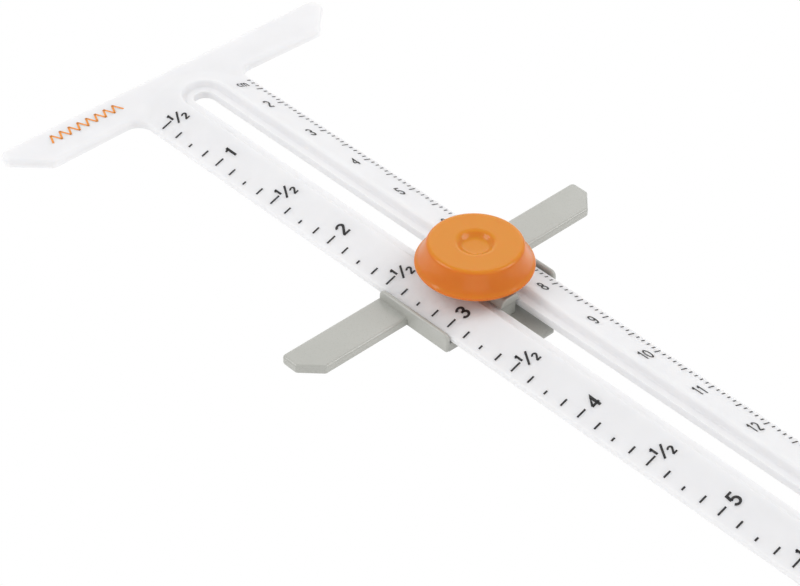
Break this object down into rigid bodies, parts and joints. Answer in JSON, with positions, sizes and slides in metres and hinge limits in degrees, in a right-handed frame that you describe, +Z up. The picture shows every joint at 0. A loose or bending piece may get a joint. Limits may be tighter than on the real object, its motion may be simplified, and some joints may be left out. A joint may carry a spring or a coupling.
{
  "type": "sliding sewing gauge",
  "caption": "T-headed plastic ruler with printed scales and a central slot, carrying a cross-bar slider held by an orange clamp knob.",
  "frame": {"origin": "under the middle of the gauge, on the surface that it lies on: the bottom centre of its bounding box", "axes": "+X along the blade, from the T-head towards the free end; +Z up out of the printed side; +Y towards the centimetre scale"},
  "size_m": [0.213, 0.0642, 0.0109],
  "materials": {
    "white_plastic": "smooth moulded white, satin",
    "grey_plastic": "moulded light grey, satin",
    "orange_plastic": "moulded orange, satin",
    "brass": "turned",
    "zinc_plated_steel": "bright zinc plate",
    "natural_nylon": "natural, slightly translucent"
  },
  "bodies": {
    "ruler": {"ruler": "white_plastic"},
    "slider": {"slider_crossbar": "grey_plastic", "clamp_screw": "zinc_plated_steel"},
    "washer": {"thrust_washer": "natural_nylon"},
    "knob": {"clamp_knob": "orange_plastic", "threaded_insert": "brass"}
  },
  "joints": [
    {"name": "slider_travel", "type": "slide", "parent": "ruler", "child": "slider", "axis": [1, 0, 0], "range_m": [-0.0525, 0.1245]},
    {"name": "washer_lift", "type": "slide", "parent": "slider", "child": "washer", "axis": [0, 0, 1], "range_m": [0, 0.000375]},
    {"name": "knob_turn", "type": "hinge", "parent": "washer", "child": "knob", "pos_m": [-0.03545, 0, 0.0068], "axis": [0, 0, 1], "range_deg": [0, 270]}
  ],
  "couplings": [
    {"joint": "knob_turn", "follows": "washer_lift", "rad_per_m": 12560}
  ]
}
